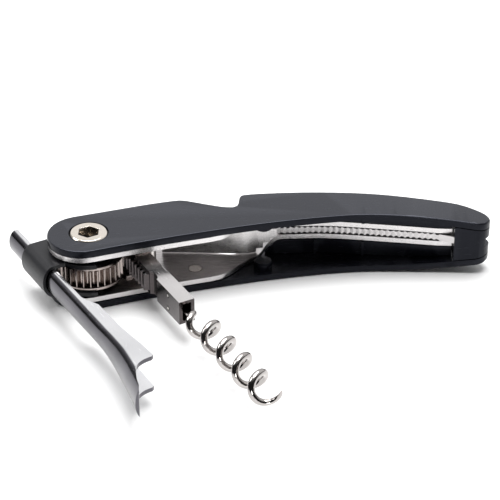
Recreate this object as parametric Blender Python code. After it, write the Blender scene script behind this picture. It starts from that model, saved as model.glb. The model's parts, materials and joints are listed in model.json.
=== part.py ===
"""Lever corkscrew: a waiter's tool whose worm is drawn up by a rack and a pinion.

The tool lies on its lower cover. The main axle is the origin, +X runs to the tail of the
handle, +Y to its convex back and +Z up. Run it with: blender --background --python part.py
"""

import math

import bmesh
import bpy
from mathutils import Matrix, Vector

MM = 0.001

# ---- driving dimensions, in millimetres and degrees ----
CLEARANCE = 0.3               # between pieces that touch or run on each other

HANDLE_REACH = 117.3          # main axle to the end of the tail
HANDLE_THICKNESS = 20.0
END_RADIUS = 10.2
END_CENTRE = (-1.8, -0.5)     # centre of the rounded end, which lies behind the axle
RIM_BEVEL = 0.5
TAIL_TAPER_START = 76.8
TAIL_TAPER_RADIUS = 238.0     # each broad face bends in towards the tail on this radius
COVER_THICKNESS = 2.2
COVER_WALL = 1.6
LINER_THICKNESS = 1.5
LINER_INSET = 0.8             # back edge of the steel liners, inside the covers
LINER_FRONT_INSET = 0.25
JOGGLE_START = 47.8           # the liners step in to hold the knife between these stations
JOGGLE_END = 55.8
WEB_THICKNESS = 0.8
WEB_START = 20.3
WEB_END = 48.3
RIB_STATIONS = (65.8, 79.8)
RIB_SIZE = 0.8
BOSS_PLACE = (50.4, 9.9)
BOSS_RADIUS = 2.7
BOSS_HEIGHT = 2.2

TAIL_BLOCK_START = 106.1
TAIL_BLOCK_FRONT_WALL = 1.1

AXLE_RADIUS = 4.4
AXLE_HEAD_RADIUS = 5.5
AXLE_HEAD_RISE = 0.2
AXLE_BORE_RADIUS = 2.2
HEX_SOCKET_RADIUS = 3.3
HEX_SOCKET_DEPTH = 5.0
AXLE_SCREW_HEAD_RADIUS = 5.0
KEY_WIDTH = 1.6
KEY_DEPTH = 1.2

WASHER_THICKNESS = 0.3
WASHER_RADIUS = 6.0
EAR_THICKNESS = 1.15
YOKE_PLATE_THICKNESS = 0.7
GEAR_TEETH = 30
GEAR_MODULE = 0.62
TOOTH_HEIGHT = 1.5
TOOTH_BACKLASH = 0.22
PRESSURE_ANGLE = 20.0

YOKE_ANGLE = -61.2            # direction of the rack bar and worm as it stands
BAR_BODY_WIDTH = 4.8
BAR_BACK_REACH = 12.0
BAR_FRONT_REACH = 37.0
RACK_FRONT_REACH = 19.3
BAR_END_CHAMFER = 1.6
BAR_POCKET_DEPTH = 6.0
BAR_POCKET_WALL = 0.9
ROLLER_RADIUS = 1.6
ROLLER_SPAN = 5.5             # each roller stands this far from the line of the axle
ROLLER_PIN_RADIUS = 0.8
ROLLER_LOBE = 0.9             # metal left around a roller on the yoke plates

WORM_DIAMETER = 8.6
WORM_WIRE_RADIUS = 1.05
WORM_PITCH = 8.9
WORM_HELIX_START = 44.2
WORM_TIP_REACH = 84.4
WORM_PHASE = 200.0
WORM_PIN_RADIUS = 0.45
WORM_PIN_STATION = 30.0

LEVER_ANGLE = -59.9           # direction of the lever as it stands
LEVER_OFFSET = 13.65          # the lever's round back starts this far from the axle
LEVER_HALF = 3.9              # half its height through the bracket
LEVER_BULGE = 2.25            # how far its back rounds out
LEVER_WALL = 1.3
LEVER_BACK_REACH = 22.5
LEVER_FLANGE_REACH = 59.2
LEVER_TIP_REACH = 69.6
LEVER_FLARE_START = 36.0
LEVER_FLARE = 5.0             # the tip end sweeps out, grows taller and rounds out by these
LEVER_FLARE_RISE = 1.8
LEVER_FLARE_BULGE = 0.8
SLEEVE_WALL = 0.9
SLEEVE_BACK_REACH = 10.2
SLEEVE_FRONT_REACH = 4.5
SLEEVE_CORNER = 8.0           # the ears leave the sleeve's back end this far from the axle
EAR_HUB_RADIUS = 7.5
EAR_TOE_RADIUS = 10.8         # the ears' front toe follows this radius about the axle
EAR_TOE_CUT = 2.75            # and ends in a flat this far before the axle's line

KNIFE_PIVOT = (110.1, 14.2)
KNIFE_THICKNESS = 2.2
KNIFE_TIP = 45.3
KNIFE_WIDTH = 5.4
KNIFE_PIVOT_RADIUS = 1.6
KNIFE_TANG_RADIUS = 3.4
KNIFE_SCALLOPS = 30
SCREW_RADIUS = 1.0
SCREW_HEAD_RADIUS = 1.9
SCREW_DEPTH = 1.2             # how far a screw enters its cover
SCREW_PLACES = ((14.8, 11.7), (30.3, 6.0))

# ---- sizes that follow from them ----
MID = HANDLE_THICKNESS / 2
LINER_OUTER = MID - COVER_THICKNESS - CLEARANCE        # heights above and below mid plane
LINER_INNER = LINER_OUTER - LINER_THICKNESS
WASHER_OUTER = LINER_INNER - CLEARANCE
EAR_OUTER = WASHER_OUTER - WASHER_THICKNESS - CLEARANCE
EAR_INNER = EAR_OUTER - EAR_THICKNESS
YOKE_OUTER = EAR_INNER - CLEARANCE
YOKE_INNER = YOKE_OUTER - YOKE_PLATE_THICKNESS
GEAR_HALF = YOKE_INNER - CLEARANCE
BAR_HALF = EAR_INNER - CLEARANCE       # the bar's body is taller than its teeth
LOBE_INNER = BAR_HALF + CLEARANCE
LOBE_OUTER = LOBE_INNER + YOKE_PLATE_THICKNESS
CHANNEL_INNER = KNIFE_THICKNESS / 2 + CLEARANCE
CHANNEL_OUTER = CHANNEL_INNER + LINER_THICKNESS
PITCH_RADIUS = GEAR_TEETH * GEAR_MODULE / 2
GEAR_TIP_RADIUS = PITCH_RADIUS + GEAR_MODULE
GEAR_ROOT_RADIUS = GEAR_TIP_RADIUS - TOOTH_HEIGHT
RACK_ROOT = GEAR_TIP_RADIUS + CLEARANCE
RACK_TIP = RACK_ROOT - TOOTH_HEIGHT
BAR_BACK = RACK_ROOT + BAR_BODY_WIDTH
BAR_MIDDLE = (RACK_ROOT + BAR_BACK) / 2
ROLLER_OFFSET = BAR_BACK + CLEARANCE + ROLLER_RADIUS
AXLE_HOLE_RADIUS = AXLE_RADIUS + CLEARANCE
WORM_AXIS = BAR_MIDDLE + 0.5
LEVER_FLANGE_EDGE = LEVER_OFFSET - 0.65
WEB_OFFSET = BAR_BACK + 0.35
FOLDED_ANGLE = -2.0           # direction of the worm when it lies in the handle
FLAT_STEPS = 3.0


def tail_x(x):
    """Stretches the stations behind the worm well when the handle's reach changes."""
    drawn_reach = 116.6
    if x <= JOGGLE_END:
        return x
    return JOGGLE_END + (x - JOGGLE_END) * (HANDLE_REACH - JOGGLE_END) / (drawn_reach - JOGGLE_END)


def taper_drop(x):
    """How far each broad face has bent in at a station."""
    start = tail_x(TAIL_TAPER_START)
    return max(0.0, x - start) ** 2 / (2 * TAIL_TAPER_RADIUS)


# ---- plan curves ----
def smooth(points, step=FLAT_STEPS):
    """A Catmull-Rom curve through the points, with a chord of about one step."""
    first = [2 * points[0][i] - points[1][i] for i in (0, 1)]
    last = [2 * points[-1][i] - points[-2][i] for i in (0, 1)]
    ring = [first, *points, last]
    curve = [points[0]]
    for p0, p1, p2, p3 in zip(ring, ring[1:], ring[2:], ring[3:]):
        count = max(1, round(math.dist(p1, p2) / step))
        for k in range(1, count + 1):
            t = k / count
            curve.append(tuple(
                0.5 * (2 * p1[i] + (p2[i] - p0[i]) * t
                       + (2 * p0[i] - 5 * p1[i] + 4 * p2[i] - p3[i]) * t * t
                       + (3 * p1[i] - p0[i] - 3 * p2[i] + p3[i]) * t ** 3)
                for i in (0, 1)))
    return curve


def arc(centre, radius, start, end, count):
    """Points on an arc, angles in degrees."""
    return [(centre[0] + radius * math.cos(math.radians(start + (end - start) * k / count)),
             centre[1] + radius * math.sin(math.radians(start + (end - start) * k / count)))
            for k in range(count + 1)]


def shifted(curve, distance):
    """The curve moved sideways, to its left when the distance is positive."""
    moved = []
    for i, point in enumerate(curve):
        before, after = curve[max(0, i - 1)], curve[min(len(curve) - 1, i + 1)]
        length = math.dist(before, after)
        moved.append((point[0] - distance * (after[1] - before[1]) / length,
                      point[1] + distance * (after[0] - before[0]) / length))
    return moved


def crossing(curve, x):
    """The height of a curve at a station."""
    for (x0, y0), (x1, y1) in zip(curve, curve[1:]):
        if min(x0, x1) <= x <= max(x0, x1) and x0 != x1:
            return y0 + (y1 - y0) * (x - x0) / (x1 - x0)
    return curve[-1][1] if x > max(curve[0][0], curve[-1][0]) else curve[0][1]


FRONT_ANGLE = 20.5            # the straight edges leave the rounded end at these angles
BACK_ANGLE = 20.0


def front_edge():
    """Concave front of the handle, from the rounded end to the tail."""
    lean = math.radians(FRONT_ANGLE)
    start = (END_CENTRE[0] + END_RADIUS * math.sin(lean),
             END_CENTRE[1] - END_RADIUS * math.cos(lean))
    points = [start, (15.1, -5.3), (32.1, 0.1), (49.4, 4.9), (66.8, 8.6), (80.8, 10.3),
              (96.8, 10.1), (107.8, 9.7), (112.3, 9.4)]
    return smooth([(tail_x(x), y) for x, y in points])


def back_edge():
    """Convex back of the handle from the tail to the notch."""
    points = [(112.4, 18.1), (107.4, 20.1), (96.8, 21.2), (85.1, 22.5), (73.3, 23.4),
              (61.4, 23.5), (49.4, 22.7), (44.4, 21.9)]
    return smooth([(tail_x(x), y) for x, y in points])


def notch():
    """Thumb notch: a steep step with a rounded foot, then a slow rise to a blunt peak."""
    return [(43.7, 21.4), (43.3, 20.3), (43.0, 16.9), (42.5, 15.5), (41.4, 14.8), (40.0, 14.8),
            (37.6, 15.2), (33.8, 16.4), (29.8, 17.8), (27.4, 18.6), (25.6, 18.8), (23.4, 18.4)]


def neck_edge():
    """Back of the handle between the notch's peak and the rounded end."""
    return smooth([(23.4, 18.4), (17.0, 16.6), (5.4, 12.7)])[1:]


def round_end(inset=0.0, count=14):
    """The rounded end, from the back round to the front."""
    return arc(END_CENTRE, END_RADIUS - inset, 90 + BACK_ANGLE, 270 + FRONT_ANGLE, count)


def tail_end():
    """Rounded end of the tail, from the front edge round to the back edge."""
    points = [(112.3, 9.4), (114.2, 9.8), (115.6, 11.0), (116.6, 13.1), (115.9, 15.3),
              (114.6, 16.7), (112.4, 18.1)]
    return smooth([(tail_x(x), y) for x, y in points], 1.2)[1:-1]


def handle_outline():
    return front_edge() + tail_end() + back_edge() + notch() + neck_edge() + round_end()[:-1]


def channel_front():
    """Front edge of the narrow knife channel."""
    points = [(55.8, 17.6), (64.8, 18.1), (72.8, 17.8), (89.8, 15.6), (101.8, 13.9),
              (TAIL_BLOCK_START - CLEARANCE, 13.7)]
    return smooth([(tail_x(x), y) for x, y in points])


# ---- solids ----
def new_object(name, mesh, material, parent=None, place=(0, 0, 0)):
    obj = bpy.data.objects.new(name, mesh)
    bpy.context.scene.collection.objects.link(obj)
    if material:
        mesh.materials.append(material)
    obj.parent = parent
    obj.location = Vector(place) * MM
    return obj


def finish_mesh(name, bm):
    bmesh.ops.recalc_face_normals(bm, faces=bm.faces)
    mesh = bpy.data.meshes.new(name)
    bm.to_mesh(mesh)
    bm.free()
    return mesh


def shade(mesh, angle=35.0):
    mesh.shade_smooth()
    mesh.set_sharp_from_angle(angle=math.radians(angle))


def prism_mesh(outline, low, high, bevel=None, stations=(), lift=None):
    """An outline raised from one height to another. A bevel is (height, width) of one rim.
    Stations slice it across X, so that lift(x, z) can bend it."""
    bm = bmesh.new()
    ring = [bm.verts.new((x * MM, y * MM, low * MM)) for x, y in outline]
    floor = bm.faces.new(ring)
    if floor.normal.z > 0:
        floor.normal_flip()
    raised = bmesh.ops.extrude_face_region(bm, geom=[floor])
    tops = [v for v in raised["geom"] if isinstance(v, bmesh.types.BMVert)]
    bmesh.ops.translate(bm, verts=tops, vec=(0, 0, (high - low) * MM))
    bmesh.ops.recalc_face_normals(bm, faces=bm.faces)
    if bevel:
        height, width = bevel
        rim = [e for e in bm.edges if all(abs(v.co.z - height * MM) < 1e-7 for v in e.verts)]
        bmesh.ops.bevel(bm, geom=rim, offset=width * MM, segments=2, profile=0.5, affect="EDGES")
    for station in stations:
        everything = bm.verts[:] + bm.edges[:] + bm.faces[:]
        bmesh.ops.bisect_plane(bm, geom=everything, plane_co=(station * MM, 0, 0), dist=1e-7,
                               plane_no=(1, 0, 0))
    if lift:
        for vert in bm.verts:
            vert.co.z += lift(vert.co.x / MM, vert.co.z / MM) * MM
    return finish_mesh("prism", bm)


def prism(name, outline, low, high, material, parent=None, place=(0, 0, 0), **shape):
    mesh = prism_mesh(outline, low, high, **shape)
    shade(mesh)
    return new_object(name, mesh, material, parent, place)


def turned_mesh(profile, segments):
    """A profile of (radius, height) turned about Z. Both its ends lie on the axis."""
    bm = bmesh.new()
    line = [bm.verts.new((radius * MM, 0, height * MM)) for radius, height in profile]
    edges = [bm.edges.new(pair) for pair in zip(line, line[1:])]
    bmesh.ops.spin(bm, geom=line + edges, cent=(0, 0, 0), axis=(0, 0, 1), angle=2 * math.pi,
                   steps=segments, use_merge=True)
    bmesh.ops.remove_doubles(bm, verts=bm.verts, dist=1e-7)
    return finish_mesh("turned", bm)


def turned(name, profile, material, segments=32, parent=None, place=(0, 0, 0)):
    mesh = turned_mesh(profile, segments)
    shade(mesh)
    return new_object(name, mesh, material, parent, place)


def cylinder_profile(radius, low, high, chamfer=0.0):
    """Outline of a disc or pin, ready to be turned."""
    if not chamfer:
        return [(0, low), (radius, low), (radius, high), (0, high)]
    return [(0, low), (radius - chamfer, low), (radius, low + chamfer),
            (radius, high - chamfer), (radius - chamfer, high), (0, high)]


def boolean(obj, tool, operation="DIFFERENCE"):
    """Cuts, joins or intersects with a hidden tool, which stays where it was made."""
    modifier = obj.modifiers.new(operation.title(), "BOOLEAN")
    modifier.object = tool
    modifier.operation = operation
    modifier.solver = "EXACT"
    tool.hide_render = True
    tool.display_type = "WIRE"


def bore(obj, radius, low, high, place=(0, 0, 0), segments=32):
    """A round hole through part of a piece, in the frame of the piece's parent."""
    tool = turned(f"cut_{obj.name}", cylinder_profile(radius, low, high), None, segments,
                  obj.parent, place)
    boolean(obj, tool)


def hexagon(radius):
    return arc((0, 0), radius, 30, 330, 5)


def frame_empty(name, place=(0, 0, 0), angle=0.0, parent=None):
    """An empty on a joint's axis, which carries that joint's pieces."""
    empty = bpy.data.objects.new(name, None)
    bpy.context.scene.collection.objects.link(empty)
    empty.parent = parent
    empty.location = Vector(place) * MM
    empty.rotation_euler = (0, 0, math.radians(angle))
    return empty


def finish(name, colour, roughness, metallic):
    """A plain Principled material."""
    material = bpy.data.materials.new(name)
    material.use_nodes = True
    shader = material.node_tree.nodes["Principled BSDF"]
    shader.inputs["Base Color"].default_value = (*colour, 1)
    shader.inputs["Roughness"].default_value = roughness
    shader.inputs["Metallic"].default_value = metallic
    material.diffuse_color = (*colour, 1)
    return material


# ---- handle ----
def cover_walls(side):
    """The wall under the knife channel, the wall along the back and their ribs."""
    foot, head = MID + side * (MID - COVER_THICKNESS + 0.2), MID + side * (CHANNEL_OUTER + CLEARANCE)
    low, high = min(foot, head), max(foot, head)
    last = tail_x(TAIL_BLOCK_START) - CLEARANCE
    front = [p for p in channel_front() if p[0] < last]
    front.append((last, crossing(channel_front(), last)))
    back = [p for p in back_edge() if JOGGLE_END < p[0] < last]
    back = [(last, crossing(back_edge()[::-1], last)), *back,
            (JOGGLE_END, crossing(back_edge()[::-1], JOGGLE_END))]
    inner_back = shifted(back, COVER_WALL)
    inner_front = shifted(front, COVER_WALL)
    start_wall = JOGGLE_END + COVER_WALL
    outline = front + back
    inner = ([p for p in inner_front if start_wall < p[0] < last - COVER_WALL]
             + [p for p in inner_back if start_wall < p[0] < last - COVER_WALL])
    wall = prism("wall_tool", outline, low, high, None)
    hollow = prism("hollow_tool", inner, low - 1, high + 1, None)
    boolean(wall, hollow)
    tools = [wall]
    for station in RIB_STATIONS:
        x = tail_x(station)
        y = crossing(front, x)
        rib = [(x - RIB_SIZE / 2, y - RIB_SIZE), (x + RIB_SIZE / 2, y - RIB_SIZE),
               (x + RIB_SIZE / 2, y + 0.4), (x - RIB_SIZE / 2, y + 0.4)]
        tools.append(prism("rib_tool", rib, low, high, None))
    return tools


def mouth_wall(side):
    """Short wall that follows the liner as it steps in, ahead of the knife channel's wall."""
    line = [(50.9, 15.8), (52.3, 16.9), (53.9, 17.45), (JOGGLE_END + 0.7, 17.75)]
    foot = MID + side * (MID - COVER_THICKNESS + 0.35)
    head = MID + side * (LINER_OUTER + CLEARANCE + 0.03)
    back = [(x, y + COVER_WALL - 0.2) for x, y in line[::-1]]

    def follow(x, z):
        return joggle(side)(x, z) if abs(z - head) < 0.001 else 0.0

    stations = [JOGGLE_END - 4.4 + 0.7 * k for k in range(7)]
    return prism("mouth_wall_tool", line + back, min(foot, head), max(foot, head), None,
                 stations=stations, lift=follow)


def cover(name, side, material, parent):
    """One moulded cover: its plate, the boss, the knife wall and the back wall."""
    outer, inner = MID + side * MID, MID + side * (MID - COVER_THICKNESS)
    stations = [tail_x(TAIL_TAPER_START) + 3.0 * k for k in range(14)]
    plate = prism(name, handle_outline(), min(outer, inner), max(outer, inner), material, parent,
                  bevel=(outer, RIM_BEVEL), stations=stations,
                  lift=lambda x, z: -side * taper_drop(x))
    boss_low, boss_high = sorted((inner + side * 0.5, inner - side * BOSS_HEIGHT))
    boss = turned("boss_tool", cylinder_profile(BOSS_RADIUS, boss_low, boss_high, 0.3), None,
                  place=(*BOSS_PLACE, 0))
    boolean(plate, boss, "UNION")
    for tool in [mouth_wall(side), *cover_walls(side)]:
        boolean(plate, tool, "UNION")
    return plate


def joggle(side):
    """Lift that brings a flat liner in to the knife channel, along a smooth step."""
    def lift(x, z):
        t = min(1.0, max(0.0, (x - JOGGLE_START) / (JOGGLE_END - JOGGLE_START)))
        return -side * (LINER_OUTER - CHANNEL_OUTER) * t * t * (3 - 2 * t)
    return lift


def well_mouth():
    """Front edge of a liner where it sweeps back round the end of the worm well."""
    return [(38.2, 2.5), (40.8, 4.8), (43.2, 7.8), (45.2, 10.1), (47.0, 11.8), (48.6, 12.7),
            (50.0, 14.3), (51.4, 16.4), (53.2, 17.4)]


def liner_outline():
    front = [p for p in shifted(front_edge(), LINER_FRONT_INSET) if p[0] < 37.3]
    last = tail_x(TAIL_BLOCK_START) - CLEARANCE
    channel = [p for p in channel_front() if p[0] < last]
    back = [p for p in shifted(back_edge(), LINER_INSET) if 45.3 < p[0] < last]
    step = [(44.2, 20.7), (44.0, 17.1), (43.4, 15.1), (42.0, 14.0), (39.8, 13.9)]
    slope = [(37.2, 14.4), (33.5, 15.6), (29.6, 17.0), (27.2, 17.8), (25.6, 18.0), (23.6, 17.6)]
    neck = shifted(neck_edge(), LINER_INSET)
    corners = [(last, crossing(channel_front(), last)),
               (last, crossing(shifted(back_edge(), LINER_INSET)[::-1], last))]
    end = round_end(LINER_FRONT_INSET)[:-1]
    return front + smooth(well_mouth(), 1.5) + channel + corners + back + step + slope + neck + end


def liner(name, side, material, parent):
    """Steel liner: flat beside the gear and the worm, stepped in beside the knife."""
    outer, inner = MID + side * LINER_OUTER, MID + side * LINER_INNER
    steps = [JOGGLE_START + (JOGGLE_END - JOGGLE_START) * k / 10 for k in range(11)]
    plate = prism(name, liner_outline(), min(outer, inner), max(outer, inner), material, parent,
                  stations=steps, lift=joggle(side))
    hole = AXLE_HOLE_RADIUS
    bore(plate, hole, min(outer, inner) - 1, max(outer, inner) + 1)
    for place in SCREW_PLACES:
        bore(plate, SCREW_HEAD_RADIUS + CLEARANCE, min(outer, inner) - 1, max(outer, inner) + 1,
             (*place, 0), 16)
    return plate


def liner_screws(level, side, cover_piece, material, parent):
    """Flat-headed screws that hold a liner to its cover, flush with the liner's inner face."""
    inner_face = MID - COVER_THICKNESS
    for number, place in enumerate(SCREW_PLACES, 1):
        profile = [(0, LINER_INNER), (SCREW_HEAD_RADIUS, LINER_INNER),
                   (SCREW_HEAD_RADIUS, LINER_INNER + LINER_THICKNESS / 2),
                   (SCREW_RADIUS, LINER_OUTER), (SCREW_RADIUS, inner_face + SCREW_DEPTH - CLEARANCE),
                   (0, inner_face + SCREW_DEPTH - CLEARANCE)]
        profile = [(radius, MID + side * height) for radius, height in profile]
        turned(f"{level}_liner_screw_{number}", profile, material, 16, parent, (*place, 0))
        low, high = sorted((MID + side * (inner_face - 1), MID + side * (inner_face + SCREW_DEPTH)))
        bore(cover_piece, SCREW_RADIUS + CLEARANCE, low, high, (*place, 0), 16)


def liner_inner(x):
    """Height of a liner's inner face above the mid plane."""
    return LINER_INNER + joggle(-1)(x, 0) * -1


def web_steps():
    """Runs of the web's end that close the gap between the liners as they step in."""
    foot = WEB_OFFSET / math.cos(math.radians(FOLDED_ANGLE)) + (WEB_END - 5.0) * math.tan(
        math.radians(FOLDED_ANGLE)) + 1.0
    length = (JOGGLE_END - 1.3 - WEB_END) / 3
    return [(WEB_END + length * k, WEB_END + length * (k + 1), foot + 0.5 * k) for k in range(3)]


def well_web(material, parent):
    """Back wall of the worm well, parallel to the folded rack bar, between the liners."""
    lean = math.radians(FOLDED_ANGLE)
    end = WEB_END - 5.0
    inner = [(x, WEB_OFFSET / math.cos(lean) + x * math.tan(lean)) for x in (WEB_START, end)]
    foot = inner[-1][1]
    inner += smooth([(end, foot), (end + 2.2, foot + 0.1), (end + 4.0, foot + 0.6),
                     (WEB_END, foot + 1.0)], 1.0)[1:]
    outer = shifted(inner, WEB_THICKNESS)
    half = LINER_INNER - CLEARANCE
    web = prism("well_web", inner + outer[::-1], MID - half, MID + half, material, parent)
    for start, end, base in web_steps():
        half = liner_inner(end) - CLEARANCE
        step = [(start - 0.2, base), (end, base + 0.5), (end, base + 0.5 + WEB_THICKNESS),
                (start - 0.2, base + WEB_THICKNESS)]
        boolean(web, prism("web_step_tool", step, MID - half, MID + half, None, parent), "UNION")


def tail_block(material, parent):
    """End spacer between the covers, slotted at mid height for the knife's tang."""
    start = tail_x(TAIL_BLOCK_START)
    tail = [p for p in front_edge() if p[0] > start] + tail_end() + [
        p for p in back_edge() if p[0] > start]
    outline = [(start, crossing(front_edge(), start)), *tail,
               (start, crossing(back_edge()[::-1], start))]
    thick = MID - COVER_THICKNESS - CLEARANCE
    stations = [start + 2.5 * k for k in range(1, 5)]

    def follow(x, z):
        return -math.copysign(taper_drop(x), z - MID)

    block = prism("tail_block", outline, MID - thick, MID + thick, material, parent,
                  stations=stations, lift=follow)
    front = KNIFE_PIVOT[1] - KNIFE_TANG_RADIUS - CLEARANCE
    slot = [(start - 1, front), (HANDLE_REACH + 1, front), (HANDLE_REACH + 1, 30), (start - 1, 30)]
    boolean(block, prism("slot_tool", slot, MID - CHANNEL_INNER, MID + CHANNEL_INNER, None))
    reach = thick - taper_drop(KNIFE_PIVOT[0]) - CLEARANCE
    bore(block, KNIFE_PIVOT_RADIUS + CLEARANCE, MID - reach - 1, MID + reach + 1,
         (*knife_place(), 0), 24)
    return reach


def knife_place():
    return tail_x(KNIFE_PIVOT[0]), KNIFE_PIVOT[1]


def axle(steel, parent):
    """Main axle: a socket-headed barrel, the screw that closes it from below and its key."""
    top = HANDLE_THICKNESS + AXLE_HEAD_RISE
    shoulder = MID + LINER_OUTER + CLEARANCE
    foot = MID - LINER_OUTER
    barrel = turned("axle_barrel", [
        (0, foot), (AXLE_RADIUS, foot), (AXLE_RADIUS, shoulder), (AXLE_HEAD_RADIUS, shoulder),
        (AXLE_HEAD_RADIUS, top - 0.4), (AXLE_HEAD_RADIUS - 0.4, top), (0, top)], steel, 40, parent)
    bore(barrel, AXLE_BORE_RADIUS, foot - 1, top + 1, segments=24)
    socket = prism("socket_tool", hexagon(HEX_SOCKET_RADIUS), top - HEX_SOCKET_DEPTH, top + 1, None)
    boolean(barrel, socket)
    keyway = [(AXLE_RADIUS - KEY_DEPTH / 2 - CLEARANCE, -KEY_WIDTH / 2 - CLEARANCE),
              (AXLE_RADIUS + 1, -KEY_WIDTH / 2 - CLEARANCE),
              (AXLE_RADIUS + 1, KEY_WIDTH / 2 + CLEARANCE),
              (AXLE_RADIUS - KEY_DEPTH / 2 - CLEARANCE, KEY_WIDTH / 2 + CLEARANCE)]
    half = GEAR_HALF
    boolean(barrel, prism("keyway_tool", keyway, MID - half, MID + half, None))
    screw_top = MID + 2.0
    turned("axle_screw", [
        (0, 0), (AXLE_SCREW_HEAD_RADIUS, 0), (AXLE_SCREW_HEAD_RADIUS, foot - CLEARANCE),
        (AXLE_BORE_RADIUS - CLEARANCE, foot - CLEARANCE),
        (AXLE_BORE_RADIUS - CLEARANCE, screw_top), (0, screw_top)], steel, 32, parent)
    inner, outer = AXLE_RADIUS - KEY_DEPTH / 2, AXLE_RADIUS + KEY_DEPTH / 2
    key = [(inner, -KEY_WIDTH / 2), (outer, -KEY_WIDTH / 2), (outer, KEY_WIDTH / 2),
           (inner, KEY_WIDTH / 2)]
    prism("gear_key", key, MID - half + CLEARANCE, MID + half - CLEARANCE, steel, parent)


def axle_washers(steel, parent):
    """Thin washers between the liners and the lever's ears."""
    for level, side in (("lower", -1), ("upper", 1)):
        low, high = sorted((MID + side * WASHER_OUTER, MID + side * (WASHER_OUTER - WASHER_THICKNESS)))
        washer = turned(f"axle_washer_{level}", cylinder_profile(WASHER_RADIUS, low, high), steel, 32,
                        parent)
        bore(washer, AXLE_HOLE_RADIUS, low - 1, high + 1)


def tooth_half_widths():
    """Half widths of a tooth at its tip and root, from its flank angle."""
    slope = math.tan(math.radians(PRESSURE_ANGLE))
    at_pitch = math.pi * GEAR_MODULE / 4 - TOOTH_BACKLASH / 2
    above = GEAR_MODULE
    below = TOOTH_HEIGHT - above
    return at_pitch - above * slope, at_pitch + below * slope


def pinion(material, parent):
    """Pinion, fixed to the handle by its key."""
    tip, root = tooth_half_widths()
    contact = YOKE_ANGLE + 90
    outline = []
    for tooth in range(GEAR_TEETH):
        centre = math.radians(contact + (tooth + 0.5) * 360 / GEAR_TEETH)
        for radius, half in ((GEAR_ROOT_RADIUS, -root), (GEAR_TIP_RADIUS, -tip),
                             (GEAR_TIP_RADIUS, tip), (GEAR_ROOT_RADIUS, root)):
            angle = centre + half / radius
            outline.append((radius * math.cos(angle), radius * math.sin(angle)))
    gear = prism("pinion_gear", outline, MID - GEAR_HALF, MID + GEAR_HALF, material, parent)
    low, high = MID - GEAR_HALF - 1, MID + GEAR_HALF + 1
    bore(gear, AXLE_HOLE_RADIUS, low, high)
    side, outer = KEY_WIDTH / 2 + CLEARANCE, AXLE_RADIUS + KEY_DEPTH / 2 + CLEARANCE
    slot = [(0, -side), (outer, -side), (outer, side), (0, side)]
    boolean(gear, prism("key_slot_tool", slot, low, high, None))


# ---- yoke: guides the rack bar round the pinion ----
def lobe_outline():
    """Plan of the raised bridge that carries both guide rollers over the bar."""
    lobe = ROLLER_RADIUS + ROLLER_LOBE
    reach = ROLLER_SPAN + lobe
    foot = EAR_HUB_RADIUS + CLEARANCE
    right = arc((ROLLER_SPAN, ROLLER_OFFSET), lobe, 0, 90, 5)
    left = arc((-ROLLER_SPAN, ROLLER_OFFSET), lobe, 90, 180, 5)
    return right + left + [(-reach, foot), (reach, foot)]


def yoke_plate(level, side, steel, pivot):
    """A disc beside the pinion, a riser and the bridge that clears the bar's broad body."""
    reach = ROLLER_SPAN + ROLLER_RADIUS + ROLLER_LOBE
    foot, head = EAR_HUB_RADIUS + CLEARANCE, RACK_ROOT - CLEARANCE
    low, high = sorted((MID + side * YOKE_INNER, MID + side * YOKE_OUTER))
    plate = turned(f"yoke_{level}_plate", cylinder_profile(GEAR_TIP_RADIUS, low, high), steel, 56,
                   pivot)
    low, high = sorted((MID + side * YOKE_INNER, MID + side * LOBE_OUTER))
    riser = [(-reach, foot), (reach, foot), (reach, head), (-reach, head)]
    boolean(plate, prism("riser_tool", riser, low, high, None, pivot), "UNION")
    low, high = sorted((MID + side * LOBE_INNER, MID + side * LOBE_OUTER))
    boolean(plate, prism("bridge_tool", lobe_outline(), low, high, None, pivot), "UNION")
    bore(plate, AXLE_HOLE_RADIUS, 0, HANDLE_THICKNESS)
    for span in (-ROLLER_SPAN, ROLLER_SPAN):
        bore(plate, ROLLER_PIN_RADIUS + CLEARANCE, 0, HANDLE_THICKNESS, (span, ROLLER_OFFSET, 0), 16)


def yoke(steel, pivot):
    yoke_plate("lower", -1, steel, pivot)
    yoke_plate("upper", 1, steel, pivot)
    half = LOBE_INNER - CLEARANCE
    for end, span in (("rear", -ROLLER_SPAN), ("front", ROLLER_SPAN)):
        place = (span, ROLLER_OFFSET, 0)
        roller = turned(f"guide_roller_{end}",
                        cylinder_profile(ROLLER_RADIUS, MID - half, MID + half, 0.2),
                        steel, 24, pivot, place)
        bore(roller, ROLLER_PIN_RADIUS + CLEARANCE, 0, HANDLE_THICKNESS, place, 16)
        turned(f"roller_pin_{end}",
               cylinder_profile(ROLLER_PIN_RADIUS, MID - LOBE_OUTER, MID + LOBE_OUTER),
               steel, 16, pivot, place)


# ---- rack bar and worm ----
def rack_teeth():
    """Centre station of each rack tooth."""
    root = tooth_half_widths()[1]
    pitch = math.pi * GEAR_MODULE
    first = math.ceil((root - BAR_BACK_REACH) / pitch)
    last = math.floor((RACK_FRONT_REACH - root) / pitch)
    return [tooth * pitch for tooth in range(first, last + 1)]


def bar_outline():
    """Plan of the bar's body, with the scoop where the teeth run out."""
    end = rack_teeth()[-1] + tooth_half_widths()[1]
    return [(BAR_FRONT_REACH, RACK_ROOT), (BAR_FRONT_REACH, BAR_BACK),
            (-BAR_BACK_REACH + BAR_END_CHAMFER, BAR_BACK),
            (-BAR_BACK_REACH, BAR_BACK - BAR_END_CHAMFER), (-BAR_BACK_REACH, RACK_ROOT),
            (end + 0.4, RACK_ROOT), (end + 1.2, RACK_ROOT + 0.9), (end + 2.8, RACK_ROOT + 1.1),
            (end + 4.2, RACK_ROOT + 0.7), (end + 4.8, RACK_ROOT)]


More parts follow.
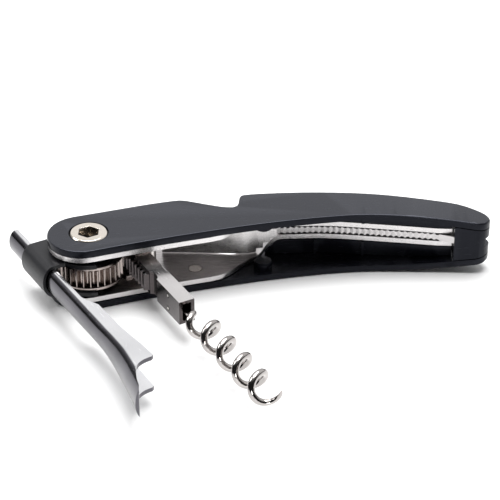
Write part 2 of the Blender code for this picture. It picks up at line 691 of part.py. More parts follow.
def teeth_outline():
    """Plan of the rack's teeth, rooted in the body."""
    tip, root = tooth_half_widths()
    centres = rack_teeth()
    base = RACK_ROOT + 0.4
    outline = [(centres[-1] + root, base), (centres[0] - root, base)]
    for s in centres:
        outline += [(s - root, RACK_ROOT), (s - tip, RACK_TIP), (s + tip, RACK_TIP),
                    (s + root, RACK_ROOT)]
    return outline


def worm_pin(level, side, bar, steel, pivot):
    """A cross pin that holds the worm's shank, flush with both faces of the bar."""
    place = (WORM_PIN_STATION, 0, MID + side * (WORM_WIRE_RADIUS + CLEARANCE * 2 + WORM_PIN_RADIUS))
    pin = turned(f"worm_pin_{level}",
                 cylinder_profile(WORM_PIN_RADIUS, RACK_ROOT - 0.05, BAR_BACK + 0.05),
                 steel, 12, pivot, place)
    hole = turned("pin_tool", cylinder_profile(WORM_PIN_RADIUS + CLEARANCE, RACK_ROOT - 1,
                                               BAR_BACK + 1), None, 12, pivot, place)
    for piece in (pin, hole):
        piece.rotation_euler = (-math.pi / 2, 0, 0)
    boolean(bar, hole)


def rack_bar(steel, pivot):
    bar = prism("rack_bar", bar_outline(), MID - BAR_HALF, MID + BAR_HALF, steel, pivot)
    teeth = prism("teeth_tool", teeth_outline(), MID - GEAR_HALF, MID + GEAR_HALF, None, pivot)
    boolean(bar, teeth, "UNION")
    side, height = WORM_WIRE_RADIUS + CLEARANCE, BAR_HALF - BAR_POCKET_WALL
    pocket = [(BAR_FRONT_REACH - BAR_POCKET_DEPTH, BAR_MIDDLE - side),
              (BAR_FRONT_REACH + 1, BAR_MIDDLE - side), (BAR_FRONT_REACH + 1, BAR_MIDDLE + side),
              (BAR_FRONT_REACH - BAR_POCKET_DEPTH, BAR_MIDDLE + side)]
    boolean(bar, prism("pocket_tool", pocket, MID - height, MID + height, None, pivot))
    worm_pin("lower", -1, bar, steel, pivot)
    worm_pin("upper", 1, bar, steel, pivot)
    socket = turned("shank_tool",
                    cylinder_profile(WORM_WIRE_RADIUS + CLEARANCE, shank_start() - CLEARANCE,
                                     BAR_FRONT_REACH), None, 20, pivot, (0, BAR_MIDDLE, MID))
    socket.rotation_euler = (0, math.pi / 2, 0)
    boolean(bar, socket)


def shank_start():
    return BAR_FRONT_REACH - BAR_POCKET_DEPTH - 4.0


def worm_path():
    """Points and wire radii: a straight shank, a bend out to the helix, and the pointed helix."""
    helix = WORM_DIAMETER / 2 - WORM_WIRE_RADIUS
    steps_per_turn = 20
    bend_start = BAR_FRONT_REACH + 0.6
    path = [((s, BAR_MIDDLE, MID), 1.0) for s in (shank_start(), BAR_FRONT_REACH - 3, bend_start)]
    turns = (WORM_TIP_REACH - WORM_HELIX_START) / WORM_PITCH
    lead_turns = 0.55
    count = round(steps_per_turn * (turns + lead_turns))
    for k in range(1, count + 1):
        turn = k / steps_per_turn - lead_turns
        grow = min(1.0, k / (steps_per_turn * lead_turns))
        ease = grow * grow * (3 - 2 * grow)
        s = WORM_HELIX_START + turn * WORM_PITCH
        if turn < 0:
            s = WORM_HELIX_START + (WORM_HELIX_START - bend_start) * (grow - 1)
        angle = math.radians(WORM_PHASE) + 2 * math.pi * turn
        centre = BAR_MIDDLE + (WORM_AXIS - BAR_MIDDLE) * ease
        y = centre + helix * ease * math.cos(angle)
        z = MID + helix * ease * math.sin(angle)
        left = (count - k) / (steps_per_turn * 0.45)
        path.append(((s, y, z), min(1.0, 0.12 + 0.88 * math.sqrt(max(0.0, left)))))
    return path


def worm(steel, pivot, sides=10):
    """The wire is swept along its path with rings that turn as little as they can."""
    path = [(Vector(point), share) for point, share in worm_path()]
    bm = bmesh.new()
    rings = []
    across = Vector((0, 0, 1))
    for i, (point, share) in enumerate(path):
        before, after = path[max(0, i - 1)][0], path[min(len(path) - 1, i + 1)][0]
        along = (after - before).normalized()
        across = (across - along * across.dot(along)).normalized()
        other = along.cross(across)
        radius = WORM_WIRE_RADIUS * share
        rings.append([bm.verts.new((point + radius * (across * math.cos(a) + other * math.sin(a))) * MM)
                      for a in (2 * math.pi * k / sides for k in range(sides))])
    for low, high in zip(rings, rings[1:]):
        for k in range(sides):
            bm.faces.new((low[k], low[(k + 1) % sides], high[(k + 1) % sides], high[k]))
    bm.faces.new(rings[0][::-1])
    bm.faces.new(rings[-1])
    mesh = finish_mesh("worm", bm)
    shade(mesh, 60)
    new_object("worm", mesh, steel, pivot)


# ---- lever ----
def eased(value, start, end):
    """0 before the start, 1 after the end and a smooth rise between them."""
    share = min(1.0, max(0.0, (value - start) / (end - start)))
    return share * share * (3 - 2 * share)


def lever_section(s):
    """Where the lever's flanges end and its back starts, its half height and its bulge."""
    run = max(0.0, s - LEVER_FLARE_START) / LEVER_FLARE_START
    grown = eased(s, LEVER_FLARE_START, LEVER_FLANGE_REACH)
    edges = [(-LEVER_BACK_REACH, LEVER_FLANGE_EDGE), (21.0, LEVER_FLANGE_EDGE),
             (23.0, LEVER_FLANGE_EDGE - 0.5), (27.0, LEVER_FLANGE_EDGE - 2.5),
             (LEVER_FLANGE_REACH, LEVER_FLANGE_EDGE - 3.0)]
    return (crossing(edges, s), LEVER_OFFSET + LEVER_FLARE * run ** 2,
            LEVER_HALF + LEVER_FLARE_RISE * grown, LEVER_BULGE + LEVER_FLARE_BULGE * grown)


def lever_row(s, inset, steps=14):
    """One line across the sheet, up one flange, round the back and down the other."""
    flange, back, half, bulge = lever_section(s)
    row = [(s, -back - (bulge - inset) * math.cos(a), MID + (half - inset) * math.sin(a))
           for a in (math.pi * (k / steps - 0.5) for k in range(steps + 1))]
    return [(s, -flange, row[0][2]), *row, (s, -flange, row[-1][2])]


def lever_trim():
    """Side view of what is cut off the swept sheet: the oblique end beyond the flanges."""
    reach, tip = LEVER_FLANGE_REACH, LEVER_TIP_REACH
    back = lever_section(reach)[1]
    end = lever_section(tip)[1] + lever_section(tip)[3]
    curve = smooth([(reach, -LEVER_FLANGE_EDGE + 2.3), (reach + 0.2, -LEVER_FLANGE_EDGE),
                    (reach + 1.2, -back + 0.4), (reach + 3.0, -back - 1.2),
                    (tip - 4.0, -end + 2.6), (tip - 1.5, -end + 1.9), (tip - 0.3, -end + 1.2)], 1.0)
    return [(reach - 1.0, 0), (reach - 0.5, -LEVER_FLANGE_EDGE + 2.9), *curve,
            (tip, -end - 1), (tip + 9, -end - 1), (tip + 9, 0)]


def lever_channel(steel, pivot):
    """Pressed lever: a rounded back with two flanges, open towards the worm."""
    stations = [-LEVER_BACK_REACH, -8.0, 8.0, 21.0, 23.0, 25.0, 27.0, 32.0]
    count = 11
    stations += [LEVER_FLARE_START + (LEVER_TIP_REACH + 1 - LEVER_FLARE_START) * k / count
                 for k in range(count + 1)]
    bm = bmesh.new()
    rings = [[bm.verts.new(Vector(p) * MM)
              for p in lever_row(s, 0) + lever_row(s, LEVER_WALL)[::-1]] for s in stations]
    for low, high in zip(rings, rings[1:]):
        for k in range(len(low)):
            bm.faces.new((low[k - 1], low[k], high[k], high[k - 1]))
    bm.faces.new(rings[0][::-1])
    bm.faces.new(rings[-1])
    mesh = finish_mesh("lever_channel", bm)
    shade(mesh)
    lever = new_object("lever_channel", mesh, steel, pivot)
    boolean(lever, prism("lever_trim_tool", lever_trim(), 0, HANDLE_THICKNESS, None, pivot))
    back = -LEVER_BACK_REACH
    stub = [(back - 1, -30), (back, -30), (back + 1.2, -LEVER_FLANGE_EDGE), (back + 1.2, 0),
            (back - 1, 0)]
    boolean(lever, prism("stub_trim_tool", stub, 0, HANDLE_THICKNESS, None, pivot))


def half_ellipse(depth, height, steps):
    """Side of the sleeve's section, from its upper end round the back to its lower end."""
    return [(-LEVER_OFFSET - depth * math.sin(a), MID + height * math.cos(a))
            for a in (math.pi * k / steps for k in range(steps + 1))]


def ear_outline():
    """Plan of the bracket: a hub on the axle, a toe at the front and the sleeve's length."""
    hub_start = -math.degrees(math.asin(EAR_TOE_CUT / EAR_HUB_RADIUS))
    hub = arc((0, 0), EAR_HUB_RADIUS, hub_start, 187, 18)
    toe_start = -math.degrees(math.acos(SLEEVE_FRONT_REACH / EAR_TOE_RADIUS))
    toe_end = -math.degrees(math.asin(EAR_TOE_CUT / EAR_TOE_RADIUS))
    depth = -LEVER_OFFSET - LEVER_BULGE - SLEEVE_WALL - 2
    return [(-SLEEVE_BACK_REACH, -SLEEVE_CORNER), (-SLEEVE_BACK_REACH, depth),
            (SLEEVE_FRONT_REACH, depth), *arc((0, 0), EAR_TOE_RADIUS, toe_start, toe_end, 8), *hub]


def lever_bracket(black, pivot):
    """Sleeve about the lever with two flat ears that turn on the main axle."""
    shoulder, reach = -(LEVER_FLANGE_EDGE - CLEARANCE), EAR_TOE_RADIUS + 1
    bore_half = LEVER_HALF + CLEARANCE
    profile = half_ellipse(LEVER_BULGE + CLEARANCE + SLEEVE_WALL, EAR_OUTER, 18)
    profile += [(reach, MID - EAR_OUTER), (reach, MID - EAR_INNER), (shoulder, MID - EAR_INNER),
                (shoulder, MID - bore_half)]
    profile += half_ellipse(LEVER_BULGE + CLEARANCE, bore_half, 16)[::-1]
    profile += [(shoulder, MID + bore_half), (shoulder, MID + EAR_INNER), (reach, MID + EAR_INNER),
                (reach, MID + EAR_OUTER)]
    low, high = -SLEEVE_BACK_REACH - 1, EAR_TOE_RADIUS + 1
    bm = bmesh.new()
    ring = [bm.verts.new(Vector((low, y, z)) * MM) for y, z in profile]
    raised = bmesh.ops.extrude_face_region(bm, geom=[bm.faces.new(ring)])
    tops = [v for v in raised["geom"] if isinstance(v, bmesh.types.BMVert)]
    bmesh.ops.translate(bm, verts=tops, vec=((high - low) * MM, 0, 0))
    mesh = finish_mesh("lever_bracket", bm)
    shade(mesh)
    bracket = new_object("lever_bracket", mesh, black, pivot)
    boolean(bracket, prism("ear_tool", ear_outline(), 0, HANDLE_THICKNESS, None, pivot), "INTERSECT")
    bore(bracket, AXLE_HOLE_RADIUS, 0, HANDLE_THICKNESS)


# ---- knife ----
def knife(steel, parent):
    """Foil knife with a scalloped edge. It swings out of the handle's back about the tail pin."""
    px, py = knife_place()
    edge = [(x, y + CLEARANCE) for x, y in channel_front()]
    last = KNIFE_PIVOT[0] - KNIFE_TANG_RADIUS - 4.5
    first = KNIFE_TIP + 5.0
    edge = [(first, edge[0][1] - 0.6)] + [p for p in edge if first < p[0] < tail_x(last)]
    scalloped = []
    run = edge[-1][0] - edge[0][0]
    pitch = run / KNIFE_SCALLOPS
    for k in range(KNIFE_SCALLOPS):
        x = edge[0][0] + k * pitch
        scalloped += [(x, crossing(edge, x)), (x + pitch / 2, crossing(edge, x + pitch / 2) - 0.22)]
    spine = [(x, crossing(edge, x) + KNIFE_WIDTH) for x in
             (edge[-1][0], edge[-1][0] - 10, edge[-1][0] - 20, edge[-1][0] - 30, edge[0][0] + 4)]
    tang = arc((px, py), KNIFE_TANG_RADIUS, -115, 80, 14)
    tip = [(KNIFE_TIP + 1.6, edge[0][1] + KNIFE_WIDTH - 1.4), (KNIFE_TIP, edge[0][1] + 2.6),
           (KNIFE_TIP + 1.4, edge[0][1] + 0.7)]
    outline = [(x - px, y - py) for x, y in scalloped + tang + spine + tip]
    half = KNIFE_THICKNESS / 2
    blade = prism("knife_blade", outline, MID - half, MID + half, steel, parent)
    bore(blade, KNIFE_PIVOT_RADIUS + CLEARANCE, MID - half - 1, MID + half + 1, segments=24)


def build():
    for obj in list(bpy.data.objects):
        bpy.data.objects.remove(obj, do_unlink=True)
    black = finish("black_polymer", (0.035, 0.036, 0.04), 0.35, 0.0)
    satin_black = finish("bracket_black", (0.03, 0.03, 0.033), 0.45, 0.3)
    bright = finish("bright_steel", (0.75, 0.74, 0.72), 0.18, 1.0)
    brushed = finish("brushed_steel", (0.62, 0.60, 0.58), 0.32, 1.0)
    dark = finish("lever_steel", (0.22, 0.22, 0.23), 0.3, 1.0)

    handle = frame_empty("handle_frame")
    lower_cover = cover("lower_cover", -1, black, handle)
    upper_cover = cover("upper_cover", 1, black, handle)
    bore(upper_cover, AXLE_HEAD_RADIUS + CLEARANCE, HANDLE_THICKNESS / 2, HANDLE_THICKNESS + 1, segments=40)
    bore(lower_cover, AXLE_SCREW_HEAD_RADIUS + CLEARANCE, -1, HANDLE_THICKNESS / 2, segments=40)
    liner("lower_liner", -1, brushed, handle)
    liner("upper_liner", 1, brushed, handle)
    liner_screws("lower", -1, lower_cover, bright, handle)
    liner_screws("upper", 1, upper_cover, bright, handle)
    well_web(brushed, handle)
    reach = tail_block(black, handle)
    axle(bright, handle)
    axle_washers(bright, handle)
    pinion(bright, handle)

    swing = frame_empty("yoke_pivot", angle=YOKE_ANGLE)
    yoke(bright, swing)
    rack_bar(bright, swing)
    worm(bright, swing)

    lever = frame_empty("lever_pivot", angle=LEVER_ANGLE)
    lever_channel(dark, lever)
    lever_bracket(satin_black, lever)

    knife_frame = frame_empty("knife_pivot_frame", (*knife_place(), 0))
    knife(bright, knife_frame)
    turned("knife_pin", cylinder_profile(KNIFE_PIVOT_RADIUS, MID - reach, MID + reach, 0.2), bright, 24,
           handle, (*knife_place(), 0))
    bpy.context.view_layer.update()


build()
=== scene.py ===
# %% [markdown]
# # A lever corkscrew, finished for a product shot
# The working parts come from a CAD model, which loads first as a fixed frame.
# This lesson adds what CAD leaves out: softened edges, round wire, ground scallops and
# surfaces that behave like moulded polymer, rolled sheet, chrome and satin paint.
# Everything is in metres. The tool lies on its side, with its hinge axes upright.

# %% Load the frame
import json
import math

import bpy
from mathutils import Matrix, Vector

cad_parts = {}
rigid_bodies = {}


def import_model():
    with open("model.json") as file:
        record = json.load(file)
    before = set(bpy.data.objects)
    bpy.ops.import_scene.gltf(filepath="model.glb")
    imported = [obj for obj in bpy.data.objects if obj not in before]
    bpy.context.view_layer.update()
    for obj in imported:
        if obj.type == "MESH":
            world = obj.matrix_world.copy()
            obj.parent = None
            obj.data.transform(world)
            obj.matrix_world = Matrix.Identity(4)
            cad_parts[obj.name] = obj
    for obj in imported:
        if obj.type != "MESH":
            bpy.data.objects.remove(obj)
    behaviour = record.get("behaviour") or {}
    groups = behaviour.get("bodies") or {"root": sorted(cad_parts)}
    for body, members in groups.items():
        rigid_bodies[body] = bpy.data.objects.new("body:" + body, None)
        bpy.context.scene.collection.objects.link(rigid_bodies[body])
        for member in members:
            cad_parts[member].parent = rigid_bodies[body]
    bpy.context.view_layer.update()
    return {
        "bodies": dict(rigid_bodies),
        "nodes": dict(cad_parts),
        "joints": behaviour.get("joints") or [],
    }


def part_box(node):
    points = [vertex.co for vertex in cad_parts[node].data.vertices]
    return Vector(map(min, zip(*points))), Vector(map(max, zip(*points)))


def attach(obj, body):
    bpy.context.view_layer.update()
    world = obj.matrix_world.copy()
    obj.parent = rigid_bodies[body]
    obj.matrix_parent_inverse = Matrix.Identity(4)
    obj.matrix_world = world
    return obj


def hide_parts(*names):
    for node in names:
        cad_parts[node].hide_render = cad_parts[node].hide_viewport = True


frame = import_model()
MM = 0.001
print("nodes in the frame:", len(frame["nodes"]))

# %% [markdown]
# ## Directions
# Three families of lines matter on this tool: the handle runs along X, while the rack bar
# and the lever stand out at their own angles. The rack's angle is read from its slide
# joint, and the lever stands just over a degree from it.

# %% Directions of the bar and the lever
slide_axis = next(j["axis"] for j in frame["joints"] if j["type"] == "slide")
bar_angle = math.atan2(slide_axis[1], slide_axis[0])
LEVER_SPLAY = math.radians(1.3)    # the lever stands this much nearer to the handle's line
lever_angle = bar_angle + LEVER_SPLAY
print("bar and lever at", [round(math.degrees(a), 1) for a in (bar_angle, lever_angle)], "degrees")

# %% [markdown]
# ## Camera
# A long lens from a little over half a metre keeps the sides of the handle nearly
# parallel, as in a catalogue picture. It looks down at about thirty degrees, so the broad
# cover and the open front of the handle both show.

# %% Place the camera
CAMERA_LENS = 144
CAMERA_ELEVATION = math.radians(31.5)
CAMERA_DISTANCE = 606 * MM
CAMERA_AIM = (46.5 * MM, 22.9 * MM, 0.0)

camera_data = bpy.data.cameras.new("catalogue_camera")
camera_data.lens = CAMERA_LENS
camera_data.clip_start = 10 * MM
camera = bpy.data.objects.new("catalogue_camera", camera_data)
bpy.context.scene.collection.objects.link(camera)
camera.location = (CAMERA_AIM[0], CAMERA_AIM[1] - CAMERA_DISTANCE * math.cos(CAMERA_ELEVATION),
                   CAMERA_DISTANCE * math.sin(CAMERA_ELEVATION))
camera.rotation_euler = (math.pi / 2 - CAMERA_ELEVATION, 0, 0)
bpy.context.scene.camera = camera
print("camera at", [round(v / MM) for v in camera.location], "mm")

# %% [markdown]
# ## Selecting one thing at a time
# Operators act on whatever is selected, and the frame arrives selected. Each step
# therefore starts by selecting its own object and nothing else.

# %% Helpers for operators
def only(piece):
    """Makes a piece the only selected object, and the active one."""
    bpy.ops.object.select_all(action="DESELECT")
    piece.select_set(True)
    bpy.context.view_layer.objects.active = piece


def edit_all_of(piece):
    """Opens a piece for editing, with its whole mesh selected."""
    only(piece)
    bpy.ops.object.mode_set(mode="EDIT")
    bpy.ops.mesh.select_all(action="SELECT")


def apply_all(piece):
    """Applies the modifiers in their order, so that the mesh is final."""
    only(piece)
    for modifier in list(piece.modifiers):
        bpy.ops.object.modifier_apply(modifier=modifier.name)


def smooth_by_angle(piece, degrees):
    """Shades across edges that turn by less than an angle, and keeps the others crisp."""
    only(piece)
    bpy.ops.object.shade_smooth_by_angle(angle=math.radians(degrees))


# %% [markdown]
# ## Working copies
# A CAD part has knife-sharp edges, which never catch the light. Real edges are broken by
# tumbling, moulding or grinding, and their thin highlights say what a thing is made of.
# Each of the larger parts is copied, its loose triangles are merged, its flat faces are
# joined, and its sharp edges are given a small bevel. The CAD part itself stays as it is,
# hidden, for the physics. The small washers, pins, rollers, screws and the key keep their
# CAD shape and only get a finish.

# %% Merged, bevelled copy of a CAD part
MERGE_WITHIN = 0.002 * MM
FLAT_WITHIN = math.radians(0.1)    # faces that turn by less are joined into one
BREAK_ABOVE = math.radians(32)     # edges that turn by more are bevelled
CRISP_ABOVE = 40                   # degrees; edges that turn by more stay crisp
LARGE_FACES_LEAD = 100             # weight that keeps large faces flat beside a bevel


def body_of_node(node):
    return next(body for body, empty in frame["bodies"].items()
                if frame["nodes"][node].parent is empty)


def merged_copy(node, name):
    """A copy of a CAD part with its triangles merged and its flat faces joined."""
    piece = bpy.data.objects.new(name, frame["nodes"][node].data.copy())
    bpy.context.scene.collection.objects.link(piece)
    piece.data.materials.clear()
    edit_all_of(piece)
    bpy.ops.mesh.customdata_custom_splitnormals_clear()
    bpy.ops.mesh.remove_doubles(threshold=MERGE_WITHIN)
    bpy.ops.mesh.dissolve_limited(angle_limit=FLAT_WITHIN)
    bpy.ops.object.mode_set(mode="OBJECT")
    return piece


def soften(piece, width, segments):
    """Breaks the sharp edges with a bevel of this width."""
    bevel = piece.modifiers.new("broken_edges", "BEVEL")
    bevel.width = width
    bevel.segments = segments
    bevel.limit_method = "ANGLE"
    bevel.angle_limit = BREAK_ABOVE
    apply_all(piece)
    smooth_by_angle(piece, CRISP_ABOVE)
    flatten = piece.modifiers.new("flat_faces_shade_flat", "WEIGHTED_NORMAL")
    flatten.keep_sharp = True
    flatten.weight = LARGE_FACES_LEAD
    apply_all(piece)


def stand_for(piece, node):
    """Hangs the piece on its body in place of the CAD part, and hides the CAD part."""
    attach(piece, body_of_node(node))
    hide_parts(node)


def refine(node, name, width, segments=2):
    """A softened piece that stands for a CAD part."""
    piece = merged_copy(node, name)
    soften(piece, width, segments)
    stand_for(piece, node)
    print(name, "has", len(piece.data.polygons), "faces")


# %% [markdown]
# ## Covers and tail block
# The outer rim of each cover is already rounded in the CAD model and is kept. The other
# corners get a fine break, as a mould would leave them.

# %% Soften the moulded parts
COVER_BREAK = 0.12 * MM
TAIL_BREAK = 0.25 * MM
refine("upper_cover", "upper_cover_moulded", COVER_BREAK)
refine("lower_cover", "lower_cover_moulded", COVER_BREAK)
refine("tail_block", "tail_block_moulded", TAIL_BREAK)

# %% [markdown]
# ## Liners and web
# Sheet that has been cut and tumbled keeps a nearly square edge, with a hair-thin bright
# line along it, so the bevel is very small.

# %% Soften the sheet parts
LINER_BREAK = 0.12 * MM
WEB_BREAK = 0.1 * MM
refine("upper_liner", "upper_liner_sheet", LINER_BREAK)
refine("lower_liner", "lower_liner_sheet", LINER_BREAK)
refine("well_web", "well_web_sheet", WEB_BREAK)

# %% [markdown]
# ## Axle, pinion, yoke and bar
# Turned and milled parts have crisp, even breaks. The pinion's teeth keep their flat tops,
# and only a narrow line of light runs round each one.

# %% Soften the machined parts
AXLE_BREAK = 0.15 * MM
TOOTH_BREAK = 0.07 * MM
YOKE_BREAK = 0.1 * MM
BAR_BREAK = 0.18 * MM
refine("axle_barrel", "axle_head_turned", AXLE_BREAK, segments=3)
refine("pinion_gear", "pinion_milled", TOOTH_BREAK)
refine("yoke_upper_plate", "upper_yoke_plate_milled", YOKE_BREAK)
refine("yoke_lower_plate", "lower_yoke_plate_milled", YOKE_BREAK)
refine("rack_bar", "rack_bar_milled", BAR_BREAK)

# %% [markdown]
# ## Lever and bracket
# A pressed and polished lever has edges that roll over further than a milled part's.
# Paint rounds the bracket's edges as well.

# %% Soften the lever and its bracket
LEVER_BREAK = 0.2 * MM
BRACKET_BREAK = 0.3 * MM
refine("lever_channel", "lever_pressed", LEVER_BREAK, segments=3)
refine("lever_bracket", "bracket_painted", BRACKET_BREAK, segments=3)

# %% [markdown]
# ## Worm
# The worm is one wire, wound and plated. The CAD wire has ten sides. Subdividing it twice
# gives a round wire whose reflections run unbroken along the turns. Subdividing also draws
# the wire in by a few hundredths of a millimetre, which the second modifier gives back.

# %% Round the worm's wire
WIRE_SHRINKAGE = 0.06 * MM
WIRE_CRISP_ABOVE = 80              # degrees
worm = merged_copy("worm", "worm_wound")
rounding = worm.modifiers.new("round_wire", "SUBSURF")
rounding.levels = rounding.render_levels = 2
swell = worm.modifiers.new("full_diameter", "DISPLACE")
swell.mid_level = 0.0
swell.strength = WIRE_SHRINKAGE
apply_all(worm)
smooth_by_angle(worm, WIRE_CRISP_ABOVE)
stand_for(worm, "worm")
print("worm has", len(worm.data.polygons), "faces")

# %% [markdown]
# ## Knife
# The foil knife lies in its slot with its edge to the front. A row of scallops is ground
# into both sides of the edge, so that it saws through foil instead of slipping. Each one is
# cut by a short cylinder laid across the edge, and all are cut in one operation.

# %% Cut the scallops
SCALLOP_PITCH = 1.7 * MM
SCALLOP_RADIUS = 0.8 * MM
SCALLOP_DEPTH = 0.32 * MM
SCALLOP_LENGTH = 4 * MM
SCALLOP_SIDES = 20
SCALLOP_TILT = 0.28                # radians, so that each scallop runs out up the blade
BEHIND_EDGE = 0.2 * MM             # middle of a scallop, measured from the edge
PLAIN_TIP = 9 * MM                 # lengths at both ends that stay plain
PLAIN_TANG = 12 * MM
BLADE_CRISP_ABOVE = 25             # degrees


def knife_edge(knife_mesh, x):
    """Y of the front edge at a station: the lowest point where a mesh edge crosses it."""
    lowest = None
    for edge in knife_mesh.edges:
        a, b = (knife_mesh.vertices[k].co for k in edge.vertices)
        if (a.x - x) * (b.x - x) < 0:
            y = a.y + (b.y - a.y) * (x - a.x) / (b.x - a.x)
            lowest = y if lowest is None else min(lowest, y)
    return lowest


knife = merged_copy("knife_blade", "knife_ground")
knife_low, knife_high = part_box("knife_blade")
scallop_start, scallop_end = knife_low.x + PLAIN_TIP, knife_high.x - PLAIN_TANG
scallops = []
for face, outward in ((knife_low.z, -1), (knife_high.z, 1)):
    x = scallop_start
    while x < scallop_end:
        middle = knife_edge(knife.data, x) + BEHIND_EDGE
        height = face + outward * (SCALLOP_RADIUS - SCALLOP_DEPTH)
        bpy.ops.object.select_all(action="DESELECT")
        bpy.ops.mesh.primitive_cylinder_add(
            vertices=SCALLOP_SIDES, radius=SCALLOP_RADIUS, depth=SCALLOP_LENGTH,
            location=(x, middle, height), rotation=(math.pi / 2 + outward * SCALLOP_TILT, 0, 0))
        scallops.append(bpy.context.active_object)
        x += SCALLOP_PITCH
bpy.ops.object.select_all(action="DESELECT")
for scallop in scallops:
    scallop.select_set(True)
bpy.context.view_layer.objects.active = scallops[0]
bpy.ops.object.join()
scallop_cutter = bpy.context.active_object
grind = knife.modifiers.new("ground_scallops", "BOOLEAN")
grind.operation = "DIFFERENCE"
grind.solver = "EXACT"
grind.use_self = True
grind.object = scallop_cutter
apply_all(knife)
only(scallop_cutter)
bpy.ops.object.delete()
smooth_by_angle(knife, BLADE_CRISP_ABOVE)
stand_for(knife, "knife_blade")
print("knife has", len(scallops), "scallops and", len(knife.data.polygons), "faces")

# %% [markdown]
# ## Shared effects
# Four effects turn up in several finishes: lines left by drawing or grinding, fine grain,
# scratches from handling, and the paler surface along edges. Each is a node group that puts
# out only values, so every finish can use it in its own way. The width and length of lines
# and the size of grain go in as millimetres.

# %% Helpers for node groups and materials
def group_sockets(group, inputs, outputs):
    """Gives a group its inputs (name, kind, value) and its outputs (name, kind)."""
    for name, kind, value in inputs:
        socket = group.interface.new_socket(name, in_out="INPUT", socket_type=kind)
        if value is not None:
            socket.default_value = value
    for name, kind in outputs:
        group.interface.new_socket(name, in_out="OUTPUT", socket_type=kind)


def add(tree, kind, **settings):
    """A node of a kind, with its plain settings."""
    node = tree.nodes.new(kind)
    for name, value in settings.items():
        setattr(node, name, value)
    return node


def wire(tree, source, target):
    tree.links.new(source, target)


# %% [markdown]
# Drawing and grinding leave fine parallel lines. Noise gives them when it is squeezed
# across the lines and stretched along them.

# %% Group: drawn lines
LINE_DETAIL = 3.0
drawn_lines = bpy.data.node_groups.new("drawn_lines", "ShaderNodeTree")
group_sockets(drawn_lines,
              [("Vector", "NodeSocketVector", None), ("Line Width", "NodeSocketFloat", 0.1),
               ("Line Length", "NodeSocketFloat", 8.0)],
              [("Lines", "NodeSocketFloat")])
lines_in = add(drawn_lines, "NodeGroupInput")
lines_out = add(drawn_lines, "NodeGroupOutput")
per_width = add(drawn_lines, "ShaderNodeMath", operation="DIVIDE")
per_width.inputs[0].default_value = 1 / MM
per_length = add(drawn_lines, "ShaderNodeMath", operation="DIVIDE")
per_length.inputs[0].default_value = 1 / MM
wire(drawn_lines, lines_in.outputs["Line Width"], per_width.inputs[1])
wire(drawn_lines, lines_in.outputs["Line Length"], per_length.inputs[1])
stretch = add(drawn_lines, "ShaderNodeCombineXYZ")
wire(drawn_lines, per_length.outputs[0], stretch.inputs[0])
wire(drawn_lines, per_width.outputs[0], stretch.inputs[1])
wire(drawn_lines, per_width.outputs[0], stretch.inputs[2])
stretched = add(drawn_lines, "ShaderNodeVectorMath", operation="MULTIPLY")
wire(drawn_lines, lines_in.outputs["Vector"], stretched.inputs[0])
wire(drawn_lines, stretch.outputs[0], stretched.inputs[1])
line_noise = add(drawn_lines, "ShaderNodeTexNoise")
line_noise.inputs["Scale"].default_value = 1.0
line_noise.inputs["Detail"].default_value = LINE_DETAIL
wire(drawn_lines, stretched.outputs[0], line_noise.inputs["Vector"])
wire(drawn_lines, line_noise.outputs["Fac"], lines_out.inputs["Lines"])
print("group drawn_lines has", len(drawn_lines.nodes), "nodes")

# %% [markdown]
# Grain is noise at the size of a moulding's texture, and clouds are the same noise much
# larger. Clouds keep a big plain face from looking computed.

# %% Group: fine grain
GRAIN_DETAIL = 2.0
CLOUD_SCALE = 70.0                 # clouds per metre, so each is about 14 mm across
CLOUD_DETAIL = 4.0
fine_grain = bpy.data.node_groups.new("fine_grain", "ShaderNodeTree")
group_sockets(fine_grain,
              [("Vector", "NodeSocketVector", None), ("Grain Size", "NodeSocketFloat", 0.2)],
              [("Grain", "NodeSocketFloat"), ("Clouds", "NodeSocketFloat")])
grain_in = add(fine_grain, "NodeGroupInput")
grain_out = add(fine_grain, "NodeGroupOutput")
per_grain = add(fine_grain, "ShaderNodeMath", operation="DIVIDE")
per_grain.inputs[0].default_value = 1 / MM
wire(fine_grain, grain_in.outputs["Grain Size"], per_grain.inputs[1])
grain_noise = add(fine_grain, "ShaderNodeTexNoise")
grain_noise.inputs["Detail"].default_value = GRAIN_DETAIL
wire(fine_grain, grain_in.outputs["Vector"], grain_noise.inputs["Vector"])
wire(fine_grain, per_grain.outputs[0], grain_noise.inputs["Scale"])
cloud_noise = add(fine_grain, "ShaderNodeTexNoise")
cloud_noise.inputs["Scale"].default_value = CLOUD_SCALE
cloud_noise.inputs["Detail"].default_value = CLOUD_DETAIL
wire(fine_grain, grain_in.outputs["Vector"], cloud_noise.inputs["Vector"])
wire(fine_grain, grain_noise.outputs["Fac"], grain_out.inputs["Grain"])
wire(fine_grain, cloud_noise.outputs["Fac"], grain_out.inputs["Clouds"])
print("group fine_grain has", len(fine_grain.nodes), "nodes")

# %% [markdown]
# Handling leaves sparse scratches in several directions. Each set is a turned and squeezed
# noise of which only the peaks are kept, and the strongest set wins at each point.

